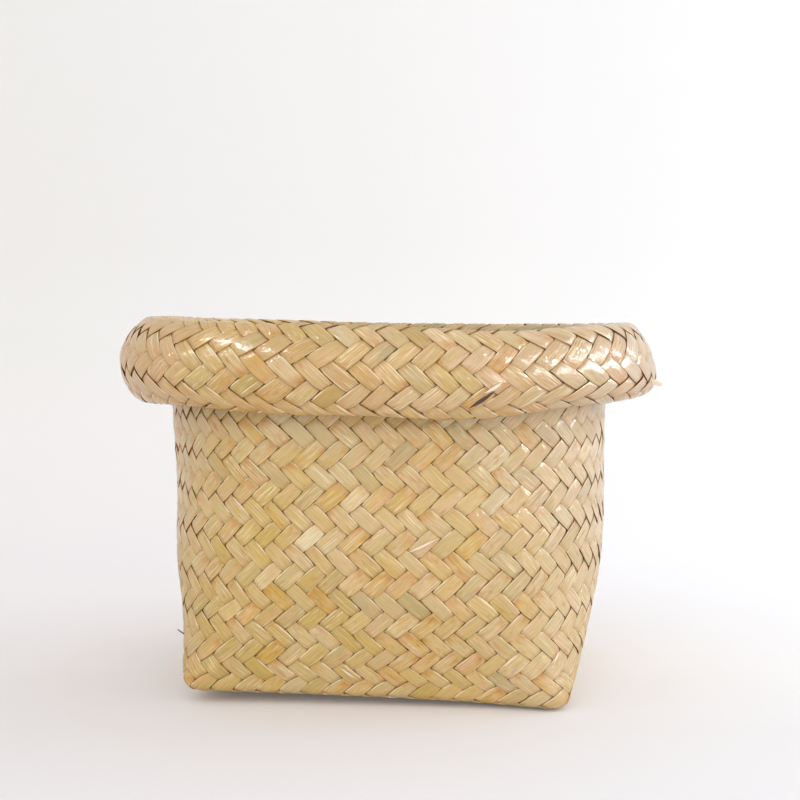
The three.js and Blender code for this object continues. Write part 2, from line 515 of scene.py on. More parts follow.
class StripGraph(Graph):
    """Geometry Nodes tree that plaits one group of strips over the guide.

    A strip is a bar in its own space, along Z from -1 to 1. Its middle crosses the mat's diagonal; each
    half runs out over one wall, over the collar and up inside the hem. Row v counts from the base edge.
    """

    def __init__(self):
        super().__init__(bpy.data.node_groups.new("plaited strips", "GeometryNodeTree"))
        face = self.tree.interface
        face.new_socket("Guide", in_out="INPUT", socket_type="NodeSocketGeometry")
        for name, kind, value in STRIP_SOCKETS:
            socket = face.new_socket(name, in_out="INPUT", socket_type="NodeSocket" + kind)
            if value is not None:
                socket.default_value = value
        face.new_socket("Strips", in_out="OUTPUT", socket_type="NodeSocketGeometry")
        self.given = self.tree.nodes.new("NodeGroupInput").outputs
        self.build()

    def named(self, name, kind="FLOAT"):
        node = self.add("GeometryNodeInputNamedAttribute", {"Name": name}, data_type=kind)
        return next(s for s in node.outputs if s.enabled and s.name == "Attribute")

    def stored(self, geometry, name, value, kind="FLOAT", domain="POINT"):
        inputs = {"Geometry": geometry, "Name": name, "Value": value}
        node = self.add("GeometryNodeStoreNamedAttribute", inputs, data_type=kind, domain=domain)
        return node.outputs[0]

    def chance(self, *keys):
        """A fixed random number from 0 to 1 for the given keys."""
        place = self.vector(*keys)
        node = self.add("ShaderNodeTexWhiteNoise", {"Vector": place}, noise_dimensions="3D")
        return node.outputs["Value"]

    def bars(self):
        given = self.given
        points = self.add("GeometryNodePoints", {"Count": given["Strip Count"]}).outputs[0]
        index = self.add("GeometryNodeInputIndex").outputs[0]
        number = self.math("ADD", index, given["First Strip"])
        points = self.stored(points, "strip", number)
        inputs = {
            "Vertices": given["Steps Around"],
            "Side Segments": given["Steps Along"],
            "Radius": 1.0,
            "Depth": 2.0,
        }
        bar = self.add("GeometryNodeMeshCylinder", inputs, fill_type="NGON")
        mesh = self.stored(bar.outputs["Mesh"], "bar_map", bar.outputs["UV Map"], "FLOAT2", "CORNER")
        inputs = {"Points": points, "Instance": mesh}
        instances = self.add("GeometryNodeInstanceOnPoints", inputs).outputs[0]
        return self.add("GeometryNodeRealizeInstances", {0: instances}).outputs[0]

    def squared(self, value):
        """Rounds a circle's coordinate out towards a flat oval."""
        size = self.math("POWER", self.math("ABSOLUTE", value), OVAL_POWER)
        return self.math("MULTIPLY", self.math("SIGN", value), size)

    def sampled(self, field, net):
        """A field of the guide at the given net coordinates."""
        inputs = {"Mesh": self.given["Guide"]}
        node = self.add("GeometryNodeSampleUVSurface", inputs, data_type="FLOAT_VECTOR")
        value, source, place = [s for s in node.inputs if s.enabled and s.name != "Mesh"]
        self.feed(value, field)
        self.feed(source, self.named("net", "FLOAT_VECTOR"))
        self.feed(place, net)
        return next(s for s in node.outputs if s.enabled and s.name == "Value")

    def strayed(self, pace, spacing, layer):
        """Slow noise along each strip, around zero."""
        m = self.math
        run = self.vector(m("MULTIPLY", self.along, pace), m("MULTIPLY", self.strip_key, spacing), layer)
        return m("SUBTRACT", self.noise(run, 1.0), 0.5)

    def measure_along(self):
        """Steps along the strip from the mat's diagonal, the row of its middle, and chances of its slabs."""
        given, m = self.given, self.math
        self.strip = self.named("strip")
        self.line = m("MULTIPLY_ADD", self.strip, 2.0, 1.0)
        inner = m("MULTIPLY_ADD", self.line, -0.5, given["Half Side"])
        self.along = m("MULTIPLY", self.bar[2], m("ADD", inner, given["Last Row"]))
        self.row = m("SUBTRACT", m("ABSOLUTE", self.along), inner)
        self.coming = m("LESS_THAN", self.along, 0.0)
        self.wave = m("COSINE", m("MULTIPLY", m("SUBTRACT", self.row, 0.5), math.pi / 2))
        slab = m("FLOOR", m("MULTIPLY_ADD", self.row, 0.5, 0.25))
        slab_key = m("MULTIPLY_ADD", self.coming, 100.0, slab)
        self.strip_key = m("MULTIPLY_ADD", given["Quarter"], 40.0, self.strip)
        self.strip_chance = self.chance(self.strip_key, 0.5, given["Seed"])
        self.slab_chance = self.chance(self.strip_key, slab_key, given["Seed"])
        self.tilt_chance = self.chance(slab_key, self.strip_key, given["Seed"])
        inputs = {0: m("SUBTRACT", self.row, given["Collar Row"]), 1: COLLAR_BLEND[0], 2: COLLAR_BLEND[1]}
        blend = self.add("ShaderNodeMapRange", inputs, interpolation_type="SMOOTHSTEP")
        self.on_collar = blend.outputs[0]
        self.gape = m("MULTIPLY_ADD", self.on_collar, given["Collar Gape"], 1.0)

    def measure_across(self):
        """Place across the strip in half-widths, and how far that is aside in strip spacings."""
        given, m = self.given, self.math
        self.across = self.squared(self.bar[0])
        turning = m("SUBTRACT", 1.0, m("MULTIPLY", self.wave, self.wave))
        pinch = m("MULTIPLY", m("MULTIPLY", turning, turning), m("MULTIPLY", given["Pinch"], self.gape))
        waver = m("MULTIPLY", self.strayed(WAVER_PACE, 3.7, 0.5), given["Waver"])
        fullness = m("MULTIPLY_ADD", self.strip_chance, WIDTH_SPREAD, 1.0 - WIDTH_SPREAD / 2)
        fullness = m("ADD", m("SUBTRACT", fullness, pinch), waver)
        width = m("MULTIPLY", given["Strip Width"], fullness)
        sideways = m("MULTIPLY", self.across, m("MULTIPLY", width, 0.5))
        drift = self.strayed(DRIFT_PACE, 7.3, given["Seed"])
        sideways = m("MULTIPLY_ADD", drift, m("MULTIPLY", given["Wander"], 4.0), sideways)
        self.aside = m("DIVIDE", sideways, given["Strip Pitch"])

    def net_place(self):
        """Net coordinates: the mat in the middle, one wall below it and one to its right."""
        given, m = self.given, self.math
        a = given["Half Side"]
        half_line = m("MULTIPLY", self.line, 0.5)
        x = m("ADD", m("ADD", half_line, self.along), self.aside)
        y = m("SUBTRACT", m("SUBTRACT", self.along, half_line), self.aside)
        on_front = m("LESS_THAN", y, m("MULTIPLY", a, -1.0))
        on_right = m("MULTIPLY", m("GREATER_THAN", x, a), m("SUBTRACT", 1.0, on_front))
        front_net = self.vector(m("ADD", x, a), m("MULTIPLY", m("ADD", y, a), -1.0))
        right_net = self.vector(m("MULTIPLY_ADD", a, 3.0, y), m("SUBTRACT", x, a))
        parts = self.parted(self.mixed(on_right, front_net, right_net, "VECTOR"))
        u = m("MULTIPLY_ADD", given["Quarter"], m("MULTIPLY", a, 2.0), parts[0])
        u = m("FLOORED_MODULO", u, m("MULTIPLY", a, 8.0))
        quarter_turn = m("MULTIPLY", given["Quarter"], math.pi / 2)
        inputs = {"Vector": self.vector(x, y), "Angle": quarter_turn}
        turned = self.add("ShaderNodeVectorRotate", inputs, rotation_type="Z_AXIS").outputs[0]
        mat_net = self.vector_math("ADD", turned, self.vector(a, m("ADD", a, MAT_IN_NET)))
        on_wall = m("ADD", on_front, on_right)
        net = self.mixed(on_wall, mat_net, self.vector(u, parts[1]), "VECTOR")
        return self.scaled(net, NET_SCALE)

    def height(self):
        """Over two, under two; the two halves of a strip take opposite parts in the twill."""
        given, m = self.given, self.math
        hardness = m("SUBTRACT", 1.0, m("MULTIPLY", self.on_collar, given["Collar Softness"]))
        crisp = m("TANH", m("MULTIPLY", self.wave, m("MULTIPLY", given["Crispness"], hardness)))
        side = m("TANH", m("MULTIPLY", self.along, HALF_CHANGE))
        lift = m("MULTIPLY", m("MULTIPLY", crisp, side), m("MULTIPLY", given["Over And Under"], self.gape))
        lean = m("MULTIPLY", m("SUBTRACT", self.tilt_chance, 0.5), m("MULTIPLY", given["Tilt"], 2.0))
        lift = m("MULTIPLY_ADD", lean, self.across, lift)
        curl = m("SUBTRACT", m("MULTIPLY", self.across, self.across), CURL_MIDDLE)
        cup = m("MULTIPLY", m("SUBTRACT", self.slab_chance, 0.5), given["Cup"])
        lift = m("MULTIPLY_ADD", curl, cup, lift)
        thick = m("MULTIPLY", self.squared(self.bar[1]), m("MULTIPLY", given["Strip Thickness"], 0.5))
        dome = m("MULTIPLY_ADD", self.on_collar, given["Collar Dome"], given["Dome"])
        bulge = m("MULTIPLY", m("MULTIPLY", curl, dome), m("SIGN", m("MULTIPLY", lift, -1.0)))
        return m("ADD", m("ADD", lift, bulge), thick)

    def noted(self, strips):
        """Notes for the finish on the strips' points, and a chart of their faces."""
        given, m = self.given, self.math
        pale = m("COMPARE", self.strip, given["Pale Strip"], 0.1)
        pale = m("MULTIPLY", pale, m("SUBTRACT", 1.0, self.coming))
        pale = m("MULTIPLY", pale, m("LESS_THAN", self.row, given["Pale End"]))
        pale = m("MULTIPLY", pale, m("GREATER_THAN", self.row, given["Pale Start"]))
        notes = {
            "pale": pale,
            "along": m("MULTIPLY", self.along, given["Strip Pitch"]),
            "across": self.across,
            "inner": m("LESS_THAN", self.bar[1], INNER_FACE),
            "row": self.row,
            "strip_tone": self.strip_chance,
            "slab_tone": self.slab_chance,
        }
        for name, value in notes.items():
            strips = self.stored(strips, name, value)
        band = m("SUBTRACT", self.strip, given["First Strip"])
        chart = self.parted(self.named("bar_map", "FLOAT_VECTOR"))
        level = m("DIVIDE", m("ADD", band, m("MULTIPLY", chart[0], CHART_FILL)), given["Strip Count"])
        return self.stored(strips, "OFBake", self.vector(chart[1], level), "FLOAT2", "CORNER")

    def build(self):
        bars = self.bars()
        place = self.add("GeometryNodeInputPosition").outputs[0]
        self.bar = self.parted(place)
        self.measure_along()
        self.measure_across()
        net = self.net_place()
        base = self.sampled(place, net)
        outward = self.sampled(self.named("facing", "FLOAT_VECTOR"), net)
        final = self.vector_math("ADD", base, self.scaled(outward, self.height()))
        inputs = {"Geometry": self.noted(bars), "Position": final}
        strips = self.add("GeometryNodeSetPosition", inputs).outputs[0]
        strips = self.add("GeometryNodeSetShadeSmooth", {0: strips}).outputs[0]
        strips = self.add("GeometryNodeRealizeInstances", {0: strips}).outputs[0]
        inputs = {"Geometry": strips, "Material": self.given["Strip Material"]}
        strips = self.add("GeometryNodeSetMaterial", inputs).outputs[0]
        end = self.tree.nodes.new("NodeGroupOutput")
        self.feed(end.inputs[0], strips)


# Materials

def srgb(red, green, blue):
    """Linear colour from 8-bit screen values."""
    def linear(value):
        part = value / 255
        return part / 12.92 if part <= 0.04045 else ((part + 0.055) / 1.055) ** 2.4
    return (linear(red), linear(green), linear(blue), 1.0)


class Shading(Graph):
    def looked_at(self):
        """One for rays from the camera, straight or by way of gloss or glass."""
        path = self.add("ShaderNodeLightPath").outputs
        gloss = self.math("MAXIMUM", path["Is Glossy Ray"], path["Is Transmission Ray"])
        return self.math("MAXIMUM", path["Is Camera Ray"], gloss)


class Finish(Shading):
    def __init__(self, name):
        self.material = bpy.data.materials.new(name)
        self.material.use_nodes = True
        super().__init__(self.material.node_tree)
        self.shader = self.tree.nodes["Principled BSDF"]

    def attribute(self, name):
        return self.add("ShaderNodeAttribute", attribute_name=name).outputs["Fac"]

    def ramp(self, factor, stops):
        node = self.add("ShaderNodeValToRGB", {"Fac": factor})
        marks = node.color_ramp.elements
        while len(marks) < len(stops):
            marks.new(0.5)
        for mark, (position, colour) in zip(marks, stops):
            mark.position = position
            mark.color = colour
        return node.outputs["Color"]

    def mixed_value(self, factor, first, second):
        return self.math("ADD", first, self.math("MULTIPLY", factor, self.math("SUBTRACT", second, first)))

    def blended(self, factor, first, second):
        return self.mixed(factor, first, second, "RGBA")


# Tones of the slabs from olive over straw and orange to cream, and the colours laid over them, some of which
# are painted light: sheen, shade and highlights
SLAB_TONES = [
    (0.18, srgb(185, 162, 102)),
    (0.34, srgb(205, 176, 116)),
    (0.48, srgb(215, 188, 130)),
    (0.60, srgb(220, 191, 138)),
    (0.70, srgb(215, 175, 108)),
    (0.78, srgb(227, 197, 148)),
    (0.90, srgb(240, 221, 176)),
]
YELLOW = srgb(212, 178, 92)
HONEY = srgb(206, 165, 90)
ROSE = srgb(226, 179, 137)
LEFT_GOLD = srgb(200, 170, 80)
# Painted sheen towards the right and the left ends
RIGHT_SHEEN = srgb(222, 205, 184)
LEFT_SHEEN = srgb(214, 188, 164)
SUNNED = srgb(216, 160, 98)
# Painted shade for the inner face just under the rim
INSIDE_SHADE = srgb(108, 94, 52)
SILVER_FIBRE = srgb(248, 230, 190)
STAIN_BROWN = srgb(184, 122, 54)
SPLIT_BROWN = srgb(128, 84, 42)
UPPER_END = srgb(196, 134, 58)
LOWER_END = srgb(170, 124, 66)
# Painted highlight on the slabs' upper edges
EDGE_HIGHLIGHT = srgb(250, 234, 200)
# Brown of the seams: partly the strips' own edges, partly painted shade
SEAM_BROWN_AND_SHADE = srgb(104, 50, 4)
# Painted shade in the small holes at the slabs' ends
TICK_SHADE = srgb(66, 30, 2)

# Grains of the sedge: changes in a metre along a strip, changes across half of it, and fineness
MOTTLE = (170.0, 0.9, 3.0)
FIBRE = (95.0, 5.0, 5.0)
HAIR = (300.0, 17.0, 4.0)
ROSE_PATCHES = (60.0, 0.6, 2.0)
SILVER = (110.0, 9.0, 2.0)
STAINS = (210.0, 1.4, 4.0)
SPLITS = (38.0, 3.2, 1.0)
# Patches where the painted edge highlight shows
HIGHLIGHT_PATCHES = (120.0, 0.0, 2.0)
SEAM_WEAR = (140.0, 0.5, 2.0)
RIDGES = (60.0, 6.5, 2.0)
RIPPLES = (330.0, 1.2, 2.0)
FIBRE_RELIEF = 0.16 * MM
LACQUER_RELIEF = 0.17 * MM


class LacqueredSedge(Finish):
    """Slabs of sedge with fibres along them under an uneven lacquer."""

    def __init__(self):
        super().__init__("lacquered sedge")
        self.along = self.attribute("along")
        self.across = self.attribute("across")
        self.row = self.attribute("row")
        self.strip_tone = self.attribute("strip_tone")
        self.slab_tone = self.attribute("slab_tone")
        self.strip_key = self.math("MULTIPLY", self.strip_tone, 37.0)
        self.slab_key = self.math("MULTIPLY", self.slab_tone, 91.0)
        self.place = self.add("ShaderNodeTexCoord").outputs["Object"]
        self.rightward, _, self.height = self.parted(self.place)
        self.reach = self.math("ABSOLUTE", self.across)
        self.folded = self.between(self.row, RIM_ROW - 2.0, RIM_ROW + 2.0)
        self.mottle = self.grain(MOTTLE, self.slab_key)
        self.fibre = self.grain(FIBRE, self.slab_key)
        self.hair = self.grain(HAIR, self.slab_key)
        colour = self.weathered_and_sheened(self.slab_colour())
        colour = self.edged(self.ended(self.stained(self.fibred_and_shaded(colour))))
        self.feed(self.shader.inputs["Base Color"], colour)
        self.lacquer()

    def grain(self, pattern, key):
        lengthwise, crosswise, fineness = pattern
        x = self.math("MULTIPLY", self.along, lengthwise)
        y = self.math("MULTIPLY", self.across, crosswise)
        return self.noise(self.vector(x, y, key), 1.0, fineness)

    def between(self, value, low, high, top=1.0):
        """Zero up to low, rising to top at high."""
        return self.add("ShaderNodeMapRange", {0: value, 1: low, 2: high, 3: 0.0, 4: top}).outputs[0]

    def off_centre(self, value):
        return self.math("SUBTRACT", value, 0.5)

    def lot(self, spread):
        """One more chance from 0 to 1 for each slab, drawn from its tone."""
        return self.math("FRACT", self.math("MULTIPLY", self.slab_tone, spread))

    def slab_colour(self):
        """Tone from the strip, the slab itself and stains along it; the pale strip is cream."""
        tone = self.math("MULTIPLY_ADD", self.strip_tone, 0.24, self.math("MULTIPLY", self.slab_tone, 0.44))
        tone = self.math("MULTIPLY_ADD", self.mottle, 0.32, tone)
        cream = self.math("MULTIPLY_ADD", self.mottle, 0.1, 0.88)
        tone = self.mixed_value(self.attribute("pale"), tone, cream)
        strength = self.math("MULTIPLY_ADD", self.lot(17.3), 0.27, 0.86)
        strength = self.math("MULTIPLY_ADD", self.off_centre(self.mottle), 0.5, strength)
        inputs = {"Saturation": strength, "Color": self.ramp(tone, SLAB_TONES)}
        return self.add("ShaderNodeHueSaturation", inputs).outputs[0]

    def weathered_and_sheened(self, colour):
        """Yellow, honey and rosy patches, gold on the left of the front, and a pale painted sheen at both
        sides, where the lacquer reflects the white room at a glancing angle.
        """
        layers = [
            (self.between(self.noise(self.place, 22.0), 0.45, 0.7, 0.4), YELLOW),
            (self.between(self.noise(self.place, 75.0), 0.55, 0.7, 0.5), HONEY),
            (self.between(self.grain(ROSE_PATCHES, self.strip_key), 0.48, 0.7, 0.6), ROSE),
            (self.between(self.rightward, 0.01, -0.03, 0.24), LEFT_GOLD),
            # Painted sheen: paler towards the right and the left ends
            (self.between(self.rightward, 0.03, 0.085, 0.6), RIGHT_SHEEN),
            (self.between(self.rightward, -0.05, -0.085, 0.5), LEFT_SHEEN),
        ]
        for amount, tint in layers:
            colour = self.blended(amount, colour, tint)
        return colour

    def fibred_and_shaded(self, colour):
        """The collar is sunned and darkened by painted shade, most on its right; the inside under the rim
        gets painted shade; light and dark fibres run along every slab.
        """
        sunned = self.math("MULTIPLY", self.lot(41.3), 0.44)
        colour = self.blended(self.math("MULTIPLY", self.folded, sunned), colour, SUNNED)
        # Painted shade on the inner face just below the rim, where the inside shows over the front
        below_rim = self.between(self.row, RIM_ROW - 0.4, RIM_ROW - 1.4)
        inside = self.math("MULTIPLY", self.attribute("inner"), below_rim)
        colour = self.blended(self.math("MULTIPLY", inside, 0.38), colour, INSIDE_SHADE)
        streak = self.math("MULTIPLY_ADD", self.off_centre(self.fibre), 0.42, 0.955)
        streak = self.math("MULTIPLY_ADD", self.off_centre(self.hair), 0.6, streak)
        # Painted shade: the collar is made darker, most on its right
        collar_shade = self.math("ADD", self.between(self.rightward, 0.02, 0.06, 0.06), 0.03)
        collar_shade = self.math("MULTIPLY", collar_shade, self.folded)
        colour = self.scaled(colour, self.math("SUBTRACT", streak, collar_shade))
        silver = self.between(self.grain(SILVER, self.slab_key), 0.56, 0.68, 0.95)
        return self.blended(self.math("MULTIPLY", silver, self.lot(29.7)), colour, SILVER_FIBRE)

    def stained(self, colour):
        stain = self.between(self.grain(STAINS, self.strip_key), 0.58, 0.76, 0.55)
        colour = self.blended(stain, colour, STAIN_BROWN)
        wander = self.math("ABSOLUTE", self.off_centre(self.grain(SPLITS, self.slab_key)))
        split = self.between(wander, 0.014, 0.0, 0.5)
        split = self.math("MULTIPLY", split, self.math("GREATER_THAN", self.slab_tone, 0.72))
        return self.blended(split, colour, SPLIT_BROWN)

    def along_slab(self):
        return self.math("FRACT", self.math("MULTIPLY_ADD", self.row, 0.5, 0.25))

    def ended(self, colour):
        """The upper end of a slab is often browner, the lower end a little duller."""
        part = self.along_slab()
        upper = self.between(part, 0.62, 0.95, 0.9)
        upper = self.math("MULTIPLY", upper, self.between(self.slab_tone, 0.5, 0.75))
        upper = self.math("MULTIPLY", upper, self.between(self.mottle, 0.4, 0.65))
        colour = self.blended(upper, colour, UPPER_END)
        return self.blended(self.between(part, 0.16, 0.03, 0.24), colour, LOWER_END)

    def edged(self, colour):
        """Painted highlight on the upper edge; seams brown, partly real and partly painted shade, most far
        out; painted shade at their ends.
        """
        # Painted highlight on the upper edge, on some slabs only
        upper = self.math("MULTIPLY", self.across, self.math("MULTIPLY_ADD", self.folded, -2.0, 1.0))
        whitish = self.between(self.grain(HIGHLIGHT_PATCHES, self.slab_key), 0.47, 0.6, 0.8)
        bright = self.math("MULTIPLY", self.between(upper, 0.80, 0.90), whitish)
        colour = self.blended(bright, colour, EDGE_HIGHLIGHT)
        # Seams: partly the brown of the strips' edges, partly painted shade in the gaps, strongest far out
        # at both sides
        far_out_shade = self.between(self.math("ABSOLUTE", self.rightward), 0.04, 0.08, 0.65)
        wear = self.math("ADD", self.between(self.grain(SEAM_WEAR, self.slab_key), 0.38, 0.58, 0.5), 0.05)
        seam = self.math("MULTIPLY", self.between(self.reach, 0.95, 0.985), self.math("ADD", far_out_shade, wear))
        colour = self.blended(seam, colour, SEAM_BROWN_AND_SHADE)
        # Painted shade at the slabs' ends, in the holes where three strips meet
        off_middle = self.math("ABSOLUTE", self.off_centre(self.along_slab()))
        near_end = self.between(off_middle, 0.34, 0.44, 0.95)
        tick_shade = self.math("MULTIPLY", self.between(self.reach, 0.86, 0.95), near_end)
        return self.blended(tick_shade, colour, TICK_SHADE)

    def relief(self, height, strength, depth):
        inputs = {"Height": height, "Strength": strength, "Distance": depth}
        return self.add("ShaderNodeBump", inputs).outputs[0]

    def lacquer(self):
        """Dull fibres under a glossy coat, which is thin near the base and gone from the edges."""
        sockets = self.shader.inputs
        self.feed(sockets["Roughness"], self.math("MULTIPLY_ADD", self.fibre, 0.3, 0.36))
        sockets["Specular IOR Level"].default_value = 0.0
        upward = self.math("ADD", self.between(self.height, 0.01, 0.06, 0.75), 0.25)
        coat = self.math("MULTIPLY", self.math("MULTIPLY_ADD", self.mottle, 0.7, 0.5), upward)
        coat = self.math("MULTIPLY", coat, self.between(self.reach, 0.93, 0.84))
        self.feed(sockets["Coat Weight"], coat)
        sockets["Coat IOR"].default_value = 1.58
        sockets["Coat Roughness"].default_value = 0.08
        fibres = self.math("MULTIPLY_ADD", self.hair, 0.5, self.fibre)
        self.feed(sockets["Normal"], self.relief(fibres, 0.5, FIBRE_RELIEF))
        ridges = self.grain(RIDGES, self.slab_key)
        swells = self.math("MULTIPLY_ADD", self.grain(RIPPLES, self.slab_key), 0.3, ridges)
        self.feed(sockets["Coat Normal"], self.relief(swells, 1.0, LACQUER_RELIEF))


def plain(name, colour):
    f = Finish(name)
    f.shader.inputs["Base Color"].default_value = colour
    f.shader.inputs["Roughness"].default_value = 0.5
    f.shader.inputs["Specular IOR Level"].default_value = 0.3
    return f.material


# The backdrop's paper on its left and right, darker on the left and lighter on the right as painted light
# from the right, and its glow: near, far off, and on the table beside the basket
TABLE_PAPER_LIT = (srgb(231, 225, 226), srgb(243, 245, 249))
WALL_PAPER_LIT = (srgb(232, 231, 228), srgb(246, 246, 247))
PAPER_SPREAD = 0.3
NEAR_GLOW = 0.05
FAR_GLOW = 0.45
BESIDE_GLOW = 0.045
BESIDE_GLOW_RIGHT = 0.035


def pale_paper():
    """Backdrop: a pinkish table that pales to a white wall, and pales from left to right as painted light;
    clear from behind.
    """
    f = Finish("pale paper")
    place = f.add("ShaderNodeTexCoord").outputs["Object"]
    parts = f.parted(place)
    rightward = f.add("ShaderNodeMapRange", {0: parts[0], 1: -PAPER_SPREAD, 2: PAPER_SPREAD}).outputs[0]
    upward = f.add("ShaderNodeMapRange", {0: parts[2], 1: 0.0, 2: 0.1}).outputs[0]
    # Painted light: darker on the left, lighter on the right
    table = f.blended(rightward, *TABLE_PAPER_LIT)
    wall = f.blended(rightward, *WALL_PAPER_LIT)
    f.feed(f.shader.inputs["Base Color"], f.blended(upward, table, wall))
    f.shader.inputs["Roughness"].default_value = 0.7
    f.shader.inputs["Specular IOR Level"].default_value = 0.2
    f.shader.inputs["Emission Color"].default_value = srgb(255, 255, 255)
    away = f.vector_math("LENGTH", place)
    glow = f.add("ShaderNodeMapRange", {0: away, 1: 0.65, 2: 1.6, 3: NEAR_GLOW, 4: FAR_GLOW}).outputs[0]
    beside = f.add("ShaderNodeMapRange", {0: parts[1], 1: -0.09, 2: 0.0}).outputs[0]
    flat = f.math("SUBTRACT", 1.0, upward)
    extra = f.math("MULTIPLY_ADD", rightward, BESIDE_GLOW_RIGHT, BESIDE_GLOW)
    glow = f.math("MULTIPLY_ADD", f.math("MULTIPLY", beside, flat), extra, glow)
    f.feed(f.shader.inputs["Emission Strength"], f.math("MULTIPLY", f.looked_at(), glow))
    behind = f.add("ShaderNodeNewGeometry").outputs["Backfacing"]
    clear = f.add("ShaderNodeBsdfTransparent").outputs[0]
    sheet = f.add("ShaderNodeMixShader", {0: behind, 1: f.shader.outputs[0], 2: clear}).outputs[0]
    f.feed(f.tree.nodes["Material Output"].inputs["Surface"], sheet)
    return f.material


# Camera, table and light

CAMERA_DISTANCE = 600 * MM
CAMERA_HEIGHT = 126.3 * MM
CAMERA_TURN = math.radians(5.7)
FOCAL_PIXELS = 1744
FRAME_PIXELS = 800
HORIZON_PIXEL = 303
AXIS_PIXEL = 394
SENSOR = 36.0


def make_camera():
    data = bpy.data.cameras.new("camera")
    data.sensor_width = SENSOR
    data.lens = SENSOR * FOCAL_PIXELS / FRAME_PIXELS
    data.clip_start = 0.01
    camera = bpy.data.objects.new("camera", data)
    bpy.context.collection.objects.link(camera)
    camera.location = (
        CAMERA_DISTANCE * math.sin(CAMERA_TURN),
        -CAMERA_DISTANCE * math.cos(CAMERA_TURN),
        CAMERA_HEIGHT,
    )
    tilt = math.atan((FRAME_PIXELS / 2 - HORIZON_PIXEL) / FOCAL_PIXELS)
    pan = math.atan((FRAME_PIXELS / 2 - AXIS_PIXEL) / FOCAL_PIXELS)
    camera.rotation_euler = (math.pi / 2 - tilt, 0, CAMERA_TURN - pan)
    bpy.context.scene.camera = camera


def make_stage():
    """A table that turns up into a wall through a wide cove."""
    cove_start, cove_radius, cove_steps = 0.24, 0.16, 24
    front, top, span = -9.0, 3.0, 9.0
    bends = [i / cove_steps * math.pi / 2 for i in range(cove_steps + 1)]
    cove = [
        (cove_start + cove_radius * math.sin(b), cove_radius * (1 - math.cos(b)))
        for b in bends
    ]
    line = [(front, 0.0)] + cove + [(cove_start + cove_radius, top)]
    places = [(x, y, z) for y, z in line for x in (-span, span)]
    faces = [(2 * i, 2 * i + 1, 2 * i + 3, 2 * i + 2) for i in range(len(line) - 1)]
    mesh = bpy.data.meshes.new("backdrop")
    mesh.from_pydata(places, [], faces)
    mesh.shade_smooth()
    mesh.materials.append(pale_paper())
    sheet = bpy.data.objects.new("backdrop", mesh)
    sheet.rotation_euler = (0, 0, CAMERA_TURN)
    bpy.context.collection.objects.link(sheet)


def area_light(name, place, width, height, power, only_gloss=False):
    data = bpy.data.lights.new(name, "AREA")
    data.shape = "RECTANGLE"
    data.size = width
    data.size_y = height
    data.energy = power
    lamp = bpy.data.objects.new(name, data)
    bpy.context.collection.objects.link(lamp)
    lamp.location = place
    direction = Vector(LIT_MIDDLE) - Vector(place)
    lamp.rotation_euler = direction.to_track_quat("-Z", "Y").to_euler()
    lamp.visible_camera = False
    lamp.visible_diffuse = not only_gloss


# Large cards that light the basket: place, width, height and power
LIT_MIDDLE = (0, 0, 0.07)
CARDS = {
    "right card": ((1.0, 0.05, 0.5), 0.9, 0.9, 2.5),
    "left card": ((-0.9, -0.6, 0.6), 0.8, 0.8, 1.1),
    "front card": ((0.2, -1.3, 0.5), 1.2, 0.8, 3.8),
}
# Narrow panes that only make glints on the lacquer: bearings, then distance, level, width, height and power
RIGHT_PANE_BEARINGS = (54, 68, 82, 96, 110)
RIGHT_PANE = (1.0, 0.5, 0.022, 0.3, 3.9)
LEFT_PANE_BEARINGS = (-44, -62)
LEFT_PANE = (0.8, 0.8, 0.03, 0.2, 2.9)
ROOM_LIGHT = 0.80
ROOM_WHITE = 1.0


def make_panes(bearings, away, level, width, height, power):
    for bearing in bearings:
        turn = math.radians(bearing)
        place = (away * math.sin(turn), -away * math.cos(turn), level)
        area_light(f"window pane {bearing}", place, width, height, power, only_gloss=True)


def make_light():
    world = bpy.data.worlds.new("room")
    bpy.context.scene.world = world
    world.use_nodes = True
    sky = world.node_tree.nodes["Background"]
    sky.inputs["Color"].default_value = (1.0, 1.0, 1.0, 1.0)
    room = Shading(world.node_tree)
    level = room.math("MULTIPLY_ADD", room.looked_at(), ROOM_WHITE - ROOM_LIGHT, ROOM_LIGHT)
    room.feed(sky.inputs["Strength"], level)
    for name, card in CARDS.items():
        area_light(name, *card)
    make_panes(RIGHT_PANE_BEARINGS, *RIGHT_PANE)
    make_panes(LEFT_PANE_BEARINGS, *LEFT_PANE)


# Putting it together

GROUPS = ["front_right", "right_back", "back_left", "left_front"]
SPLIT = 9
BATCHES = [("long", 0, SPLIT), ("short", SPLIT, STRIPS_PER_SIDE - SPLIT)]
SIDES = ["front", "right", "back", "left"]


def plait(tree, guide, name, quarter, first, count, material):
    carrier = bpy.data.objects.new("carrier", guide)
    bpy.context.collection.objects.link(carrier)
    modifier = carrier.modifiers.new("plait", "NODES")
    modifier.node_group = tree
    chosen = {
        "Quarter": quarter,
        "First Strip": first,
        "Strip Count": count,
        "Strip Material": material,
        "Pale Strip": PALE_STRIP if quarter == GROUPS.index(PALE_GROUP) else -1,
    }
    for socket in tree.interface.items_tree:
        if socket.name in chosen and socket.in_out == "INPUT":
            modifier[socket.identifier] = chosen[socket.name]
    depsgraph = bpy.context.evaluated_depsgraph_get()
    mesh = bpy.data.meshes.new_from_object(carrier.evaluated_get(depsgraph), depsgraph=depsgraph)
    mesh.name = name
    bpy.data.objects.remove(carrier)
    piece = bpy.data.objects.new(name, mesh)
    bpy.context.collection.objects.link(piece)
    return piece


